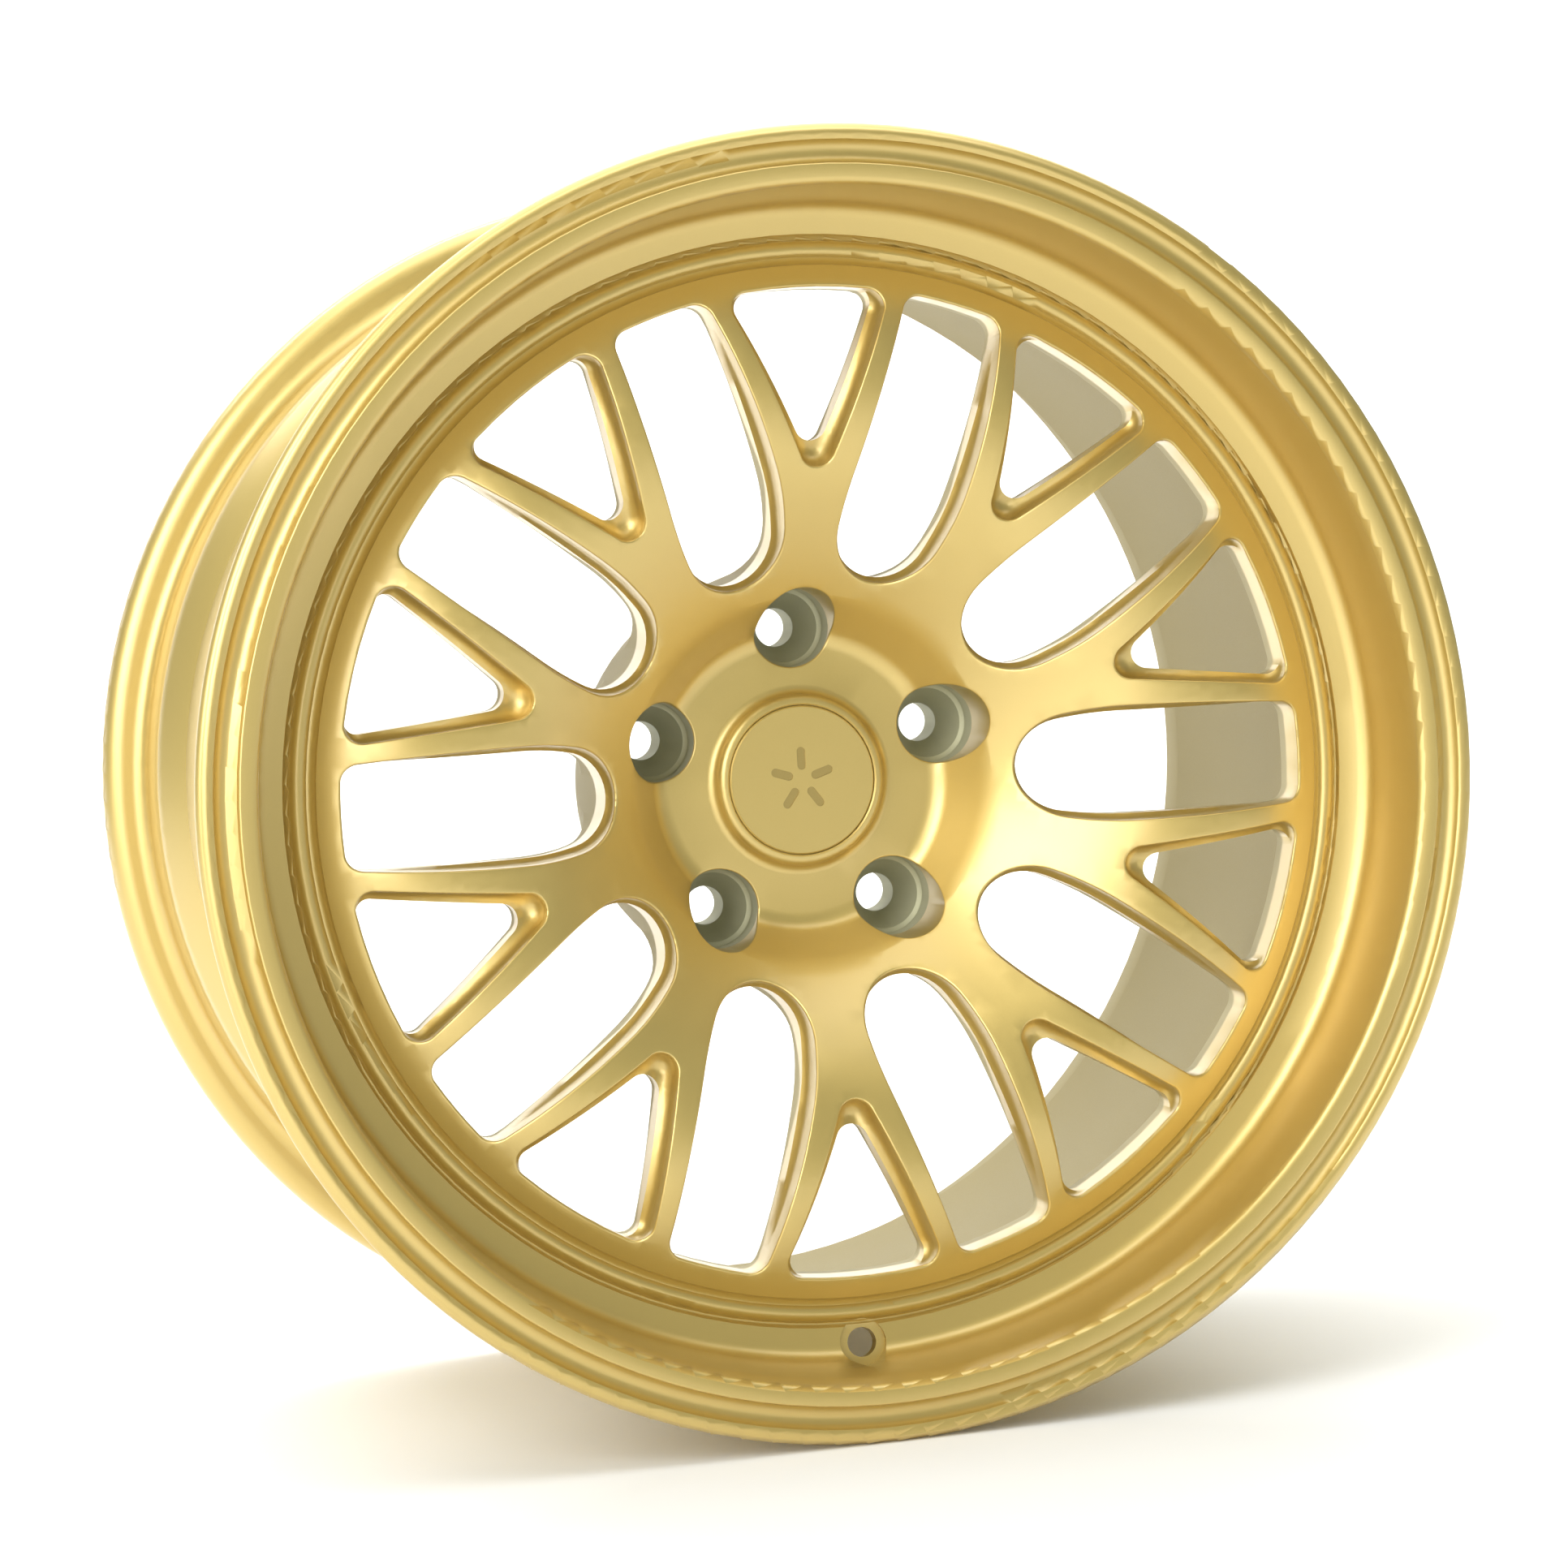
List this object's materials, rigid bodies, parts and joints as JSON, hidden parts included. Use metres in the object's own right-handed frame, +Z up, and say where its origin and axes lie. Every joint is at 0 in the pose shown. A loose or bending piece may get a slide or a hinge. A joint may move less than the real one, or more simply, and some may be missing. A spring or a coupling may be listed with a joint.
{
  "type": "forged racing wheel rim",
  "caption": "Deep one-piece forged car wheel with forked spokes, a stepped lip and a snap-in centre cap, satin gold.",
  "frame": {"origin": "centre of the hub mounting face, on the wheel's axle line", "axes": "+Y along the axle line, from the outboard face towards the car; the outboard side faces -Y; +Z up through one lug hole, with the valve hole straight below; +X to the right seen from outboard"},
  "size_m": [0.497, 0.3066, 0.497],
  "materials": {
    "gold_paint": "satin champagne gold over forged aluminium",
    "cap_paint": "satin champagne gold",
    "spring_steel": "bright drawn wire"
  },
  "bodies": {
    "wheel": {"wheel_forging": "gold_paint"},
    "cap": {"center_cap": "cap_paint", "cap_spring_ring": "spring_steel"}
  },
  "joints": [
    {"name": "cap_pull", "type": "slide", "parent": "wheel", "child": "cap", "axis": [0, -1, 0], "range_m": [0, 0.06]}
  ]
}
